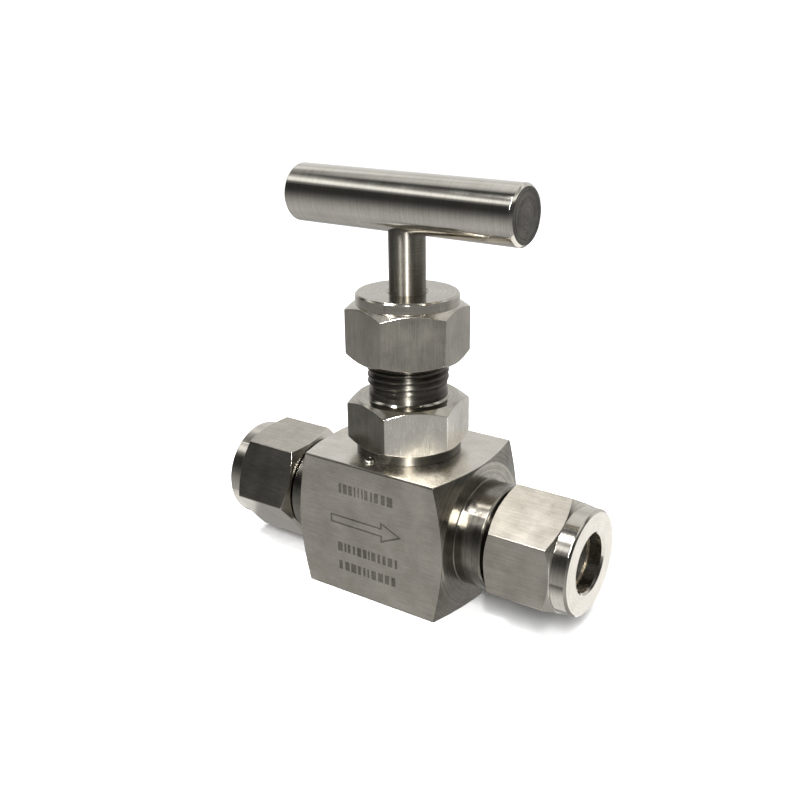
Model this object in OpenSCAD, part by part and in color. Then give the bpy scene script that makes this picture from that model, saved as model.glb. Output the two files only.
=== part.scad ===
// Needle valve with a square bar-stock body, a screwed bonnet, a T-bar handle
// and a double-ferrule tube end on each side.
// Millimetres. Origin: centre of the body's bottom face, under the stem axis.
// +X is the flow direction (inlet at -X, outlet at +X), +Z points up the stem.

/* [Body] */
// Length of the square body along the flow
body_length = 39; // [36:0.5:46]
// Width and height of the square bar that the body is cut from
bar_size = 32; // [31:0.5:36]
// Radius of the turned neck on each side of the body
neck_radius = 11.8; // [11:0.1:12.2]
// Radius of the seat orifice
orifice_radius = 2.6; // [1.5:0.1:3]

/* [Hexagons] */
// Width across flats of the bonnet, gland nut and tube nuts
hex_flats = 23.8; // [23:0.1:26]
// Turn of the bonnet hexagon about the stem axis
bonnet_turn = -18; // [-30:1:30]
// Turn of the gland nut at rest
gland_turn = -20; // [-30:1:30]
// Turn of the inlet tube nut at rest
inlet_nut_turn = 22; // [-30:1:30]
// Turn of the outlet tube nut at rest
outlet_nut_turn = 0; // [-30:1:30]

/* [Tube ends] */
// Outside diameter of the tube that each end takes
tube_od = 12.7; // [12:0.1:13]
// Radial clearance between the tube and its socket
tube_gap = 0.1; // [0.05:0.01:0.2]
// Distance from the stem axis to the outer face of a tube nut
nut_reach = 46; // [45:0.5:50]

/* [Stem and handle] */
// Radius of the polished stem
stem_radius = 4; // [3.5:0.1:4.2]
// Lead of the stem thread, the lift for one turn
stem_lead = 1.25; // [1:0.25:1.5]
// Height of the handle's axis above the base at rest
handle_height = 86.8; // [84:0.2:95]
// Length of the T-bar handle
handle_length = 57; // [40:1:80]
// Radius of the T-bar handle
handle_radius = 6.35; // [6:0.05:8]

/* [Hidden] */
$fn = 96;

// Clearances
run_gap = 0.06;            // shaft in a bore of another moving piece
seat_gap = 0.04;           // faces that meet on assembly
cut = 0.5;                 // how far a cutter runs past the face it opens

// Shared shapes
chamfer_slope = tan(30);   // the 30 degree turned chamfer on every hexagon
ledge = 0.15;              // step from a hexagon's chamfer down to the round collar beside it
half_bar = bar_size / 2;
half_body = body_length / 2;
flow_z = half_bar;         // height of the flow axis
body_top = bar_size;
small_break = 0.1;         // the finest edges and steps
fine_chamfer = 0.2;
light_chamfer = 0.3;
chamfer = 0.4;             // most turned edges
full_chamfer = 0.5;
overlap = 0.01;            // cones that open a bore start this far inside it

// Body
end_disc_radius = half_bar - 0.2;
neck_root = 4;                           // how far the turned necks run into the block
end_cone_slope = tan(19.5);
edge_break = 0.35;
port_offset = 3.2;                       // flow bores lie this far below and above the flow axis
low_bore_z = flow_z - port_offset;
high_bore_z = flow_z + port_offset;
bore_start = 0.4 * orifice_radius;       // the flow bores start this far past the stem axis
seat_z = flow_z;
chamber_radius = 5;
gasket_floor_z = high_bore_z + orifice_radius + 0.6;
gasket_height = 0.8;
gasket_radius = 8.6;
gasket_recess_depth = 1.6;
bonnet_thread_depth = gasket_floor_z + 1.2;   // where the bonnet's tapped hole starts

// Thread sizes: crest radius, pitch, tooth depth
bonnet_thread_radius = 10;
gland_thread_radius = 9;
thread_pitch = 1.5;
thread_depth = 0.85;
thread_flank = 0.42;                     // share of the pitch that each flank takes
stem_thread_radius = 5;
stem_thread_depth = 0.7;
tube_thread_radius = 9.525;
tube_thread_pitch = 1.27;
tube_thread_depth = 0.72;
tube_thread_relief = 0.9;                // the plain ends beside the thread are this much smaller

// Bonnet heights
bonnet_foot_z = gasket_floor_z + gasket_height + seat_gap;
collar_radius = 11.7;
collar_height = 2;
bonnet_hex_z = body_top + collar_height;
bonnet_hex_height = 10.5;
hex_foot_radius = 11.5;                  // where the bonnet hexagon's chamfers start
hex_head_radius = 11.3;
bonnet_neck_z = bonnet_hex_z + bonnet_hex_height;
bonnet_neck_radius = 8.7;
bonnet_thread_z = bonnet_neck_z + 2.1;
bonnet_top_z = bonnet_thread_z + 11.9;
bonnet_foot_chamfer_z = bonnet_foot_z + 1.2;
backseat_z = bonnet_hex_z + 8;
box_floor_z = bonnet_neck_z + 1.5;       // bottom of the packing box
box_radius = 6.5;

// Lock pin, in the body's top face against the bonnet collar
lock_pin_radius = 1;
lock_pin_reach = 12.4;
lock_pin_angle = -99.5;
lock_pin_low_z = body_top - 5;
lock_pin_top_z = body_top + 0.6;
lock_pin_fit = 0.01;

// Packing
support_height = 1.2;
ring_height = 2.5;
chevron_rise = 0.7;
packing_radius = (stem_radius + box_radius) / 2;   // where the chevrons come to a point
ring_gap = 0.04;
follower_foot_z = box_floor_z + support_height + 3 * ring_height + 4 * seat_gap;

// Gland nut heights
gland_low_z = bonnet_top_z - 6.1;
gland_top_z = gland_low_z + 15.6;
gland_mouth_radius = 10;
boss_radius = 11.3;
boss_height = 2.4;
gland_roof_z = gland_top_z - 4.5;
stem_entry = 0.7;                        // chamfer around the stem's hole
follower_head_radius = 8.2;
follower_head_height = 2;

// Stem, drawn at rest, half open
half_lift = 3;                           // travel from rest to shut, and from rest to open
stem_foot_z = seat_z + 8.6;
skirt_radius = 4.7;
skirt_height = 4.9;
stem_thread_low_z = stem_foot_z + skirt_height;
stem_shoulder_z = backseat_z - half_lift - 0.1;
stem_end_z = handle_height + 2.7;
swivel_radius = 4;                       // bore of the skirt that holds the needle's head
swivel_cone = 0.6;                       // height of the cone that centres the ball
retainer_height = 1.3;
retainer_fit = 0.02;
needle_head_radius = 3.9;
needle_body_radius = 3.3;
needle_half_angle = 20;
needle_point_radius = 0.6;
needle_point_break = 0.25;
needle_head_height = 1.1;
thrust_ball_radius = 1.2;
swivel_roof_z = stem_foot_z + 3.9;
ball_z = swivel_roof_z - thrust_ball_radius - small_break;
ball_fit = 0.02;

// Handle
handle_chamfer = 0.6;
set_screw_radius = 2;
set_screw_tip = 3.2;                     // distance of its tip from the stem axis
set_screw_key = 2;                       // key width of its hexagon socket
set_screw_length = 2.7;
set_screw_socket = 1.1;                  // distance of the socket's floor from the tip
handle_fit = 0.03;                       // clearance of the bar on the stem and around its screw

// Tube ends, distances from the stem axis along the flow
socket_radius = tube_od / 2 + tube_gap;
neck_end = nut_reach - 20.1;
thread_start = neck_end + 1;
tube_end = nut_reach - 8;                // end face of the threaded body end
socket_floor = nut_reach - 22;
ferrule_slope = tan(12);
cone_mouth_radius = 7.9;
pocket_radius = cone_mouth_radius + 0.6; // the space for the ferrules inside the nut
ferrule_gap = 0.06;
ferrule_rim_start = tube_end + 0.3;
ferrule_dish = 0.9;                      // the back ferrule's nose sits in a cone this deep
nut_rear = nut_reach - 19.4;
nut_mouth_radius = 11.3;
nut_collar_start = nut_reach - 3.7;
nut_collar_radius = 11.6;
nut_face_radius = 11.1;
nut_shoulder = nut_reach - 3.3;          // where the nut's 45 degree shoulder meets the tube bore
ferrule_nose = nut_reach - 12;
ferrule_back = nut_reach - 6;
back_ferrule_end = nut_reach - 3.9;
thread_tip = 0.6;                        // plain end beyond the tube thread, and the nut's mouth cone

// Outline of a turned thread from z0 up to z1: a list of [radius, height] points
function thread_outline(z0, z1, crest, pitch, depth) =
    let (teeth = floor((z1 - z0) / pitch), spare = (z1 - z0 - teeth * pitch) / 2)
    [for (i = [0 : teeth - 1], p = [[0, 0], [thread_flank, 1], [1 - thread_flank, 1], [1, 0]])
        if (i == 0 || p[0] > 0) [crest - depth * (1 - p[1]), z0 + spare + (i + p[0]) * pitch]];

// A solid turned about Z from its half outline
module turned(points) {
    rotate_extrude() polygon(points);
}

// A cylinder between two heights
module rod(radius, z0, z1) {
    translate([0, 0, z0]) cylinder(r = radius, h = z1 - z0);
}

// A cone frustum between two heights
module taper(radius0, radius1, z0, z1) {
    turned([[0, z0], [radius0, z0], [radius1, z1], [0, z1]]);
}

// A hexagon bar between two heights
module hex_bar(flats, z0, z1) {
    translate([0, 0, z0]) cylinder(d = flats / cos(30), h = z1 - z0, $fn = 6);
}

// A hexagon with a 30 degree turned chamfer at each end
module chamfered_hex(flats, z0, z1, low_radius, high_radius) {
    corner = flats / 2 / cos(30) + cut;
    intersection() {
        hex_bar(flats, z0, z1);
        turned([
            [0, z0], [low_radius, z0],
            [corner, z0 + (corner - low_radius) * chamfer_slope],
            [corner, z1 - (corner - high_radius) * chamfer_slope],
            [high_radius, z1], [0, z1]
        ]);
    }
}

// Turns a shape drawn up Z so that it lies along the flow, outward at one side (1 outlet, -1 inlet)
module along_flow(side) {
    translate([0, 0, flow_z]) rotate([0, 90 * side, 0]) children();
}

// The square bar with broken long edges, its ends turned about the flow axis
module body_block() {
    e = half_bar - edge_break;
    h = half_bar;
    corner = half_bar * sqrt(2) + cut;
    depth = (corner - end_disc_radius) * end_cone_slope;
    along_flow(1) intersection() {
        translate([0, 0, -half_body]) linear_extrude(height = body_length)
            polygon([[e, h], [h, e], [h, -e], [e, -h], [-e, -h], [-h, -e], [-h, e], [-e, h]]);
        turned([
            [0, -half_body], [end_disc_radius, -half_body], [corner, -half_body + depth],
            [corner, half_body - depth], [end_disc_radius, half_body], [0, half_body]
        ]);
    }
}

// Turned neck and threaded end on one side of the body
module body_end(side) {
    plain_radius = tube_thread_radius - tube_thread_relief;
    along_flow(side) turned(concat(
        [
            [0, half_body - neck_root], [neck_radius, half_body - neck_root],
            [neck_radius, neck_end - chamfer], [neck_radius - chamfer, neck_end],
            [plain_radius, neck_end], [plain_radius, thread_start - small_break]
        ],
        thread_outline(thread_start, tube_end - thread_tip, tube_thread_radius,
            tube_thread_pitch, tube_thread_depth),
        [[plain_radius, tube_end], [0, tube_end]]
    ));
}

// Tube socket with the ferrule cone at its mouth, and the offset flow bore behind it
module tube_socket_cut(side, bore_z) {
    cone_length = (cone_mouth_radius - socket_radius) / ferrule_slope;
    along_flow(side) rod(socket_radius, socket_floor, tube_end + cut);
    along_flow(side) taper(socket_radius, cone_mouth_radius, tube_end - cone_length, tube_end);
    translate([side * bore_start, 0, bore_z]) rotate([0, 90 * side, 0])
        cylinder(r = orifice_radius, h = socket_floor + cut);
}

module valve_body() {
    color("#a8a49c") difference() {
        union() {
            body_block();
            body_end(1);
            body_end(-1);
        }
        tube_socket_cut(1, high_bore_z);
        tube_socket_cut(-1, low_bore_z);
        translate([-bore_start - cut, 0, low_bore_z]) rotate([0, 90, 0])
            cylinder(r = orifice_radius, h = orifice_radius + cut);
        rod(orifice_radius, low_bore_z, seat_z + cut);
        rod(chamber_radius, seat_z, gasket_floor_z + cut);
        rod(gasket_radius + small_break, gasket_floor_z, gasket_floor_z + gasket_recess_depth);
        rod(bonnet_thread_radius + run_gap, bonnet_thread_depth, body_top + cut);
        rotate([0, 0, lock_pin_angle]) translate([lock_pin_reach, 0, 0])
            rod(lock_pin_radius + lock_pin_fit, lock_pin_low_z, body_top + cut);
    }
}

module bonnet() {
    foot_radius = gasket_radius - fine_chamfer;
    relief_radius = foot_radius + chamfer;
    neck_foot_radius = bonnet_neck_radius + full_chamfer;
    root_radius = gland_thread_radius - thread_depth;
    color("#b0aca4") difference() {
        union() {
            turned(concat(
                [[0, bonnet_foot_z], [foot_radius, bonnet_foot_z], [foot_radius, bonnet_foot_chamfer_z]],
                thread_outline(bonnet_foot_chamfer_z + small_break, body_top - light_chamfer,
                    bonnet_thread_radius, thread_pitch, thread_depth),
                [[relief_radius, body_top - small_break], [relief_radius, body_top + seat_gap],
                 [0, body_top + seat_gap]]
            ));
            rod(collar_radius, body_top + seat_gap, bonnet_hex_z + cut);
            rotate([0, 0, bonnet_turn])
                chamfered_hex(hex_flats, bonnet_hex_z, bonnet_neck_z, hex_foot_radius, hex_head_radius);
            turned(concat(
                [[0, bonnet_neck_z - cut], [neck_foot_radius, bonnet_neck_z - cut],
                 [neck_foot_radius, bonnet_neck_z], [bonnet_neck_radius, bonnet_neck_z + full_chamfer],
                 [bonnet_neck_radius, bonnet_thread_z - full_chamfer],
                 [root_radius, bonnet_thread_z - fine_chamfer]],
                thread_outline(bonnet_thread_z, bonnet_top_z - chamfer, gland_thread_radius,
                    thread_pitch, thread_depth),
                [[root_radius - fine_chamfer, bonnet_top_z], [0, bonnet_top_z]]
            ));
        }
        rod(stem_thread_radius + run_gap, bonnet_foot_z - cut, backseat_z);
        taper(stem_thread_radius + run_gap, stem_radius + run_gap,
            backseat_z - overlap, backseat_z + stem_thread_radius - stem_radius);
        rod(stem_radius + run_gap, backseat_z, box_floor_z + cut);
        rod(box_radius, box_floor_z, bonnet_top_z + cut);
        taper(box_radius, box_radius + full_chamfer, bonnet_top_z - full_chamfer, bonnet_top_z + overlap);
        rotate([0, 0, lock_pin_angle]) translate([lock_pin_reach, 0, 0])
            rod(lock_pin_radius + 2 * lock_pin_fit, body_top - cut, lock_pin_top_z + fine_chamfer);
    }
}

module bonnet_gasket() {
    color("#e8e4da") difference() {
        rod(gasket_radius, gasket_floor_z + seat_gap / 2, gasket_floor_z + gasket_height);
        rod(chamber_radius + chamfer, gasket_floor_z - cut, gasket_floor_z + gasket_height + cut);
    }
}

module bonnet_lock_pin() {
    crown = light_chamfer;
    foot_z = lock_pin_low_z + seat_gap;
    color("#d8d5ce") rotate([0, 0, lock_pin_angle]) translate([lock_pin_reach, 0, 0])
        turned([
            [0, foot_z], [lock_pin_radius - crown, foot_z],
            [lock_pin_radius, foot_z + crown], [lock_pin_radius, lock_pin_top_z - crown],
            [lock_pin_radius - crown / 3, lock_pin_top_z - crown / 3],
            [lock_pin_radius - crown, lock_pin_top_z], [0, lock_pin_top_z]
        ]);
}

module packing_support_ring() {
    z0 = box_floor_z + seat_gap / 2;
    inner = stem_radius + small_break;
    outer = box_radius - ring_gap;
    color("#9c9890") turned([
        [inner, z0], [outer, z0], [outer, z0 + support_height],
        [packing_radius, z0 + support_height - chevron_rise], [inner, z0 + support_height]
    ]);
}

// One chevron ring of the packing set, counted from the bottom
module packing_ring(index) {
    z0 = box_floor_z + support_height + index * ring_height + (index + 1) * seat_gap;
    z1 = z0 + ring_height;
    inner = stem_radius + run_gap;
    outer = box_radius - ring_gap;
    color("#f2f0ea") turned([
        [inner, z0], [packing_radius, z0 - chevron_rise], [outer, z0],
        [outer, z1], [packing_radius, z1 - chevron_rise], [inner, z1]
    ]);
}

module packing_ring_lower() {
    packing_ring(0);
}

module packing_ring_middle() {
    packing_ring(1);
}

module packing_ring_upper() {
    packing_ring(2);
}

// Pressed down by the gland nut's roof, it squeezes the packing onto the stem
module packing_follower() {
    inner = stem_radius + run_gap;
    outer = box_radius - run_gap;
    head_top_z = gland_roof_z - seat_gap;
    head_z = head_top_z - follower_head_height;
    color("#b8b4ac") turned([
        [inner, follower_foot_z], [packing_radius, follower_foot_z - chevron_rise],
        [outer, follower_foot_z], [outer, head_z], [follower_head_radius, head_z],
        [follower_head_radius, head_top_z - light_chamfer],
        [follower_head_radius - light_chamfer, head_top_z], [inner, head_top_z]
    ]);
}

module gland_nut() {
    boss_z = gland_top_z - boss_height;
    color("#a29e96") difference() {
        union() {
            rotate([0, 0, gland_turn])
                chamfered_hex(hex_flats, gland_low_z, boss_z, gland_mouth_radius, boss_radius + ledge);
            turned([
                [0, boss_z - cut], [boss_radius, boss_z - cut], [boss_radius, gland_top_z - chamfer],
                [boss_radius - chamfer, gland_top_z], [0, gland_top_z]
            ]);
        }
        rod(gland_thread_radius + run_gap, gland_low_z - cut, gland_roof_z);
        taper(gland_thread_radius + full_chamfer, gland_thread_radius,
            gland_low_z - overlap, gland_low_z + full_chamfer);
        rod(stem_radius + run_gap, gland_roof_z - cut, gland_top_z + cut);
        taper(stem_radius, stem_radius + stem_entry, gland_top_z - stem_entry, gland_top_z + overlap);
    }
}

module stem() {
    cone = stem_thread_radius - stem_radius;
    color("#c9c6bf") difference() {
        turned(concat(
            [[0, stem_foot_z], [skirt_radius - fine_chamfer, stem_foot_z],
             [skirt_radius, stem_foot_z + fine_chamfer], [skirt_radius, stem_thread_low_z - chamfer],
             [stem_thread_radius - stem_thread_depth, stem_thread_low_z - small_break]],
            thread_outline(stem_thread_low_z, stem_shoulder_z - chamfer - fine_chamfer,
                stem_thread_radius, stem_lead, stem_thread_depth),
            [[stem_thread_radius, stem_shoulder_z - chamfer], [stem_thread_radius, stem_shoulder_z],
             [stem_radius, stem_shoulder_z + cone], [stem_radius, stem_end_z - full_chamfer],
             [stem_radius - full_chamfer, stem_end_z], [0, stem_end_z]]
        ));
        rod(swivel_radius, stem_foot_z - cut, swivel_roof_z - swivel_cone);
        taper(swivel_radius, thrust_ball_radius, swivel_roof_z - swivel_cone - overlap, swivel_roof_z);
        translate([0, set_screw_tip, handle_height]) rotate([-90, 0, 0])
            cylinder(r = set_screw_radius + small_break, h = stem_radius);
    }
}

// Swivels in the stem's skirt, so the cone doesn't turn on the seat
module needle_tip() {
    point_z = seat_z + half_lift + seat_gap
        - (orifice_radius - needle_point_radius) / tan(needle_half_angle);
    cone_top_z = point_z + (needle_body_radius - needle_point_radius) / tan(needle_half_angle);
    head_z = stem_foot_z + retainer_height + run_gap;
    head_top_z = head_z + needle_head_height;
    foot_z = point_z - needle_point_break;
    color("#d2cfc8") difference() {
        turned([
            [0, foot_z], [needle_point_radius - light_chamfer, foot_z], [needle_point_radius, point_z],
            [needle_body_radius, cone_top_z], [needle_body_radius, head_z],
            [needle_head_radius, head_z], [needle_head_radius, head_top_z], [0, head_top_z]
        ]);
        translate([0, 0, ball_z]) sphere(r = thrust_ball_radius + ball_fit);
    }
}

module thrust_ball() {
    color("#e0dfdb") translate([0, 0, ball_z]) sphere(r = thrust_ball_radius);
}

module tip_retainer() {
    color("#aba79f") difference() {
        rod(swivel_radius - retainer_fit, stem_foot_z, stem_foot_z + retainer_height);
        rod(needle_body_radius + run_gap, stem_foot_z - cut, stem_foot_z + retainer_height + cut);
    }
}

module tbar_handle() {
    r = handle_radius;
    half = handle_length / 2;
    c = handle_chamfer;
    color("#c4c1ba") difference() {
        translate([0, 0, handle_height]) rotate([0, 90, 0]) turned([
            [0, -half], [r - c, -half], [r, -half + c], [r, half - c], [r - c, half], [0, half]
        ]);
        rod(stem_radius + handle_fit, handle_height - handle_radius - cut, stem_end_z + light_chamfer);
        translate([0, 0, handle_height]) rotate([-90, 0, 0])
            cylinder(r = set_screw_radius + handle_fit, h = handle_radius + cut);
    }
}

// Grub screw in the back of the bar, tightened onto a spot faced in the stem
module handle_set_screw() {
    r = set_screw_radius;
    length = set_screw_length;
    color("#6f6c66") translate([0, set_screw_tip + seat_gap, handle_height]) rotate([-90, 0, 0])
        difference() {
            turned([
                [0, 0], [r - full_chamfer, 0], [r, full_chamfer],
                [r, length - light_chamfer], [r - light_chamfer, length], [0, length]
            ]);
            hex_bar(set_screw_key, set_screw_socket, length + cut);
        }
}

module tube_nut(side, turn) {
    r = nut_collar_radius;
    shoulder_foot = nut_shoulder - (pocket_radius - socket_radius);
    mouth_radius = tube_thread_radius + thread_tip;
    color("#a6a299") along_flow(side) difference() {
        union() {
            rotate([0, 0, turn]) chamfered_hex(hex_flats, nut_rear, nut_collar_start,
                nut_mouth_radius, nut_collar_radius + ledge);
            turned([
                [0, nut_collar_start - cut], [r, nut_collar_start - cut], [r, nut_reach - full_chamfer],
                [nut_face_radius, nut_reach], [0, nut_reach]
            ]);
        }
        rod(tube_thread_radius + run_gap, nut_rear - cut, tube_end + thread_tip);
        taper(mouth_radius, tube_thread_radius, nut_rear - overlap, nut_rear + thread_tip);
        rod(pocket_radius, tube_end, shoulder_foot);
        taper(pocket_radius, socket_radius, shoulder_foot - overlap, nut_shoulder);
        rod(socket_radius, nut_shoulder - cut, nut_reach + cut);
        taper(socket_radius - overlap, socket_radius + full_chamfer,
            nut_reach - full_chamfer - overlap, nut_reach + overlap);
    }
}

// Slides into the body's cone and seals on the tube
module front_ferrule(side) {
    mouth = cone_mouth_radius - ferrule_gap;
    nose_radius = mouth - (tube_end - ferrule_nose) * ferrule_slope;
    rim_cone_radius = mouth + (ferrule_rim_start - tube_end) * ferrule_slope;
    rim_radius = cone_mouth_radius + chamfer;
    color("#bdb9b1") along_flow(side) turned([
        [socket_radius, ferrule_nose], [nose_radius, ferrule_nose],
        [rim_cone_radius, ferrule_rim_start], [rim_radius, ferrule_rim_start],
        [rim_radius, ferrule_back - chamfer], [rim_radius - chamfer, ferrule_back],
        [socket_radius + ferrule_dish, ferrule_back], [socket_radius, ferrule_back - ferrule_dish]
    ]);
}

// Pushed by the nut's shoulder, it grips the tube and drives the front ferrule
module back_ferrule(side) {
    rim_radius = pocket_radius - ledge;
    front = ferrule_back + ferrule_gap;
    slant_gap = ferrule_gap * sqrt(2);       // the same gap, measured along the flow at 45 degrees
    rim_end = nut_shoulder - (rim_radius - socket_radius) - slant_gap;
    end_radius = socket_radius + nut_shoulder - back_ferrule_end - slant_gap;
    color("#b3afa7") along_flow(side) turned([
        [socket_radius, front - ferrule_dish], [socket_radius + ferrule_dish, front],
        [rim_radius, front], [rim_radius, rim_end],
        [end_radius, back_ferrule_end], [socket_radius, back_ferrule_end]
    ]);
}

module inlet_tube_nut() {
    tube_nut(-1, inlet_nut_turn);
}

module inlet_front_ferrule() {
    front_ferrule(-1);
}

module inlet_back_ferrule() {
    back_ferrule(-1);
}

module outlet_tube_nut() {
    tube_nut(1, outlet_nut_turn);
}

module outlet_front_ferrule() {
    front_ferrule(1);
}

module outlet_back_ferrule() {
    back_ferrule(1);
}

valve_body();
bonnet();
bonnet_gasket();
bonnet_lock_pin();
packing_support_ring();
packing_ring_lower();
packing_ring_middle();
packing_ring_upper();
packing_follower();
gland_nut();
stem();
needle_tip();
thrust_ball();
tip_retainer();
tbar_handle();
handle_set_screw();
inlet_tube_nut();
inlet_front_ferrule();
inlet_back_ferrule();
outlet_tube_nut();
outlet_front_ferrule();
outlet_back_ferrule();
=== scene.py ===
import math
import random

import bpy
from mathutils import Matrix, Vector


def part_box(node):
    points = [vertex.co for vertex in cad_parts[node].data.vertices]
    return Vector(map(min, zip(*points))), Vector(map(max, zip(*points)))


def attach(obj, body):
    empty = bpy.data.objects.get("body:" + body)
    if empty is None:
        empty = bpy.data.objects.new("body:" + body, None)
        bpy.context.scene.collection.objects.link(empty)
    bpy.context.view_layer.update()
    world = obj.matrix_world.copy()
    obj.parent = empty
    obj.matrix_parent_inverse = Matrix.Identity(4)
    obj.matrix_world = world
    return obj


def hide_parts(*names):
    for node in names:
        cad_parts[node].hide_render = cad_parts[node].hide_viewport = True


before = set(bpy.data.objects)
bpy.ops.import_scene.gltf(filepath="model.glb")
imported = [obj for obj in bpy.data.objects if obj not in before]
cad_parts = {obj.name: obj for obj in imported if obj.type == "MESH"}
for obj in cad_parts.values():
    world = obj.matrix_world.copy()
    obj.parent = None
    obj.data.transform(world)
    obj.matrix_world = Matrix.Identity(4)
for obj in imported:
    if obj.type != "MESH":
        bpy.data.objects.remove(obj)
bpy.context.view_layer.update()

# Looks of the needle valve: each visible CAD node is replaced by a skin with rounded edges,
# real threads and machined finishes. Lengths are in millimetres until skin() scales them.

MM = 0.001
MICRON = 1e-6
ARC_STEPS = 4            # steps in each rounded edge
ROUND_COLUMNS = 160      # columns around a turned piece
SMALL_COLUMNS = 48       # columns around a small one
HOLE_COLUMNS = 96        # columns around the cutter of the bonnet's hole
CUTTER_COLUMNS = 64      # columns around the cutter of a small hole
FLAT_COLUMNS = 19        # columns across each flat of a hexagon or of the square
THREAD_ROWS = 14         # rows for each thread pitch
SHARP_ANGLE = math.radians(32)


# ---- Places and sizes, from the frame ---------------------------------------------------------

def extent(name, axis):
    """Lowest and highest place of a CAD node along one axis (0 x, 1 y, 2 z), in mm."""
    low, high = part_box(name)
    return low[axis] / MM, high[axis] / MM


half_bar = extent("valve_body", 1)[1]
tube_end = extent("valve_body", 0)[1]
flow_z = half_bar
body_top = 2 * half_bar
bonnet_foot, bonnet_top = extent("bonnet", 2)
gland_low, gland_top = extent("gland_nut", 2)
stem_foot, stem_end = extent("stem", 2)
nut_rear, nut_reach = extent("outlet_tube_nut", 0)
bar_low, bar_high = extent("tbar_handle", 2)
bar_half = extent("tbar_handle", 0)[1]
bar_radius = (bar_high - bar_low) / 2
bar_z = (bar_high + bar_low) / 2
pin_low, pin_top = extent("bonnet_lock_pin", 2)
screw_tip, screw_end = extent("handle_set_screw", 1)

# Sizes shared by several pieces
hex_apothem = 11.9
hex_corner_round = 0.4
chamfer_slope = math.tan(math.radians(30))
bar_corner_round = 0.45  # on the long corners of the square body
tube_bore = 6.45
stem_radius = 4.0
stem_thread_radius = 5.0
bonnet_thread_radius = 10.0
gland_thread_radius = 9.0
tube_thread_radius = 9.52
run_gap = 0.06           # around a shaft or a male thread
bonnet_turn, gland_turn, inlet_turn, outlet_turn = (math.radians(a) for a in (-18, -20, 22, 0))
edge = 0.22              # rounded edge of the hexagons
fine_edge = 0.12         # rounded edge of small steps


# ---- Skins: one outline of (radius, height) points for each angle around an axis --------------

def rounded(corners, loop):
    """Outline through (radius, height, fillet) corners; a fillet above 0 becomes a small curve."""
    points = []
    count = len(corners)
    for i, (radius, height, fillet) in enumerate(corners):
        here = Vector((radius, height))
        if fillet == 0 or (not loop and i in (0, count - 1)):
            points.append(here)
            continue
        back = Vector(corners[i - 1][:2]) - here
        ahead = Vector(corners[(i + 1) % count][:2]) - here
        turn = math.pi - back.angle(ahead)
        reach = min(fillet * math.tan(turn / 2), 0.45 * back.length, 0.45 * ahead.length)
        start = here + back.normalized() * reach
        end = here + ahead.normalized() * reach
        for k in range(ARC_STEPS + 1):
            t = k / ARC_STEPS
            points.append(start * (1 - t) ** 2 + here * (2 * t * (1 - t)) + end * t ** 2)
    return points


def polygon_side(angle, sides, turn, apothem, corner_round):
    """Distance from the axis to the side of a polygon with rounded corners, at one angle."""
    sector = 2 * math.pi / sides
    half = sector / 2
    off = (angle - turn + half) % sector - half
    centre = (apothem - corner_round) / math.cos(half)
    tangent = math.atan2(corner_round * math.sin(half), centre + corner_round * math.cos(half))
    if abs(off) < tangent:
        return centre * math.cos(off) + math.sqrt(corner_round ** 2 - (centre * math.sin(off)) ** 2)
    return apothem / math.cos(half - abs(off))


def polygon_angles(sides, turn, apothem, corner_round):
    """Angles for the columns of a polygon: close together at its corners, even across its flats."""
    sector = 2 * math.pi / sides
    half = sector / 2
    centre = (apothem - corner_round) / math.cos(half)
    tangent = math.atan2(corner_round * math.sin(half), centre + corner_round * math.cos(half))
    offsets = [tangent * k / 3 for k in range(-3, 3)]
    offsets += [tangent + (sector - 2 * tangent) * k / FLAT_COLUMNS for k in range(FLAT_COLUMNS)]
    return [turn + sector * s + off for s in range(sides) for off in offsets]


def round_angles(columns=ROUND_COLUMNS):
    return [2 * math.pi * k / columns for k in range(columns)]


def thread(low, high, radius, depth, pitch, angle):
    """Corners of a right-hand thread between two heights; a negative depth makes a female one."""
    rows = math.ceil((high - low) / pitch * THREAD_ROWS)
    corners = []
    for k in range(rows + 1):
        height = low + (high - low) * k / rows
        phase = (height / pitch - angle / (2 * math.pi)) % 1
        flank = min(1, max(0, (1 - abs(2 * phase - 1) - 0.1) / 0.8))
        groove = 1 - flank * flank * (3 - 2 * flank)
        fade = min(1, (height - low) / pitch, (high - height) / pitch)
        cut_in = groove * fade if depth < 0 else 1 - (1 - groove) * fade
        corners.append((radius - depth * cut_in, height, 0))
    return corners


def skin(name, angles, outline, loop, place=Matrix.Identity(4)):
    """A closed mesh from one outline per angle. Without loop, the first and last points are poles."""
    columns = [outline(angle) for angle in angles]
    rows = len(columns[0])
    wide = len(columns)
    first, last = (0, rows) if loop else (1, rows - 1)
    vertices = []
    for angle, column in zip(angles, columns):
        for radius, height in column[first:last]:
            vertices.append((radius * math.cos(angle), radius * math.sin(angle), height))
    tall = last - first
    faces = []
    for c in range(wide):
        here, beside = c * tall, (c + 1) % wide * tall
        for r in range(tall if loop else tall - 1):
            up = (r + 1) % tall
            faces.append((here + r, beside + r, beside + up, here + up))
        if not loop:
            faces.append((here, len(vertices), beside))
            faces.append((here + tall - 1, beside + tall - 1, len(vertices) + 1))
    if not loop:
        vertices += [(0, 0, columns[0][0][1]), (0, 0, columns[0][-1][1])]
    mesh = bpy.data.meshes.new(name)
    mesh.from_pydata([place @ Vector(v) * MM for v in vertices], [], faces)
    mesh.update()
    piece = bpy.data.objects.new(name, mesh)
    bpy.context.scene.collection.objects.link(piece)
    face_outward(mesh)
    return piece


def face_outward(mesh):
    """Turns every face the same way, with a positive volume inside."""
    volume = 0
    for polygon in mesh.polygons:
        points = [mesh.vertices[v].co for v in polygon.vertices]
        for k in range(1, len(points) - 1):
            volume += points[0].dot(points[k].cross(points[k + 1]))
    if volume < 0:
        mesh.flip_normals()


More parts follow.
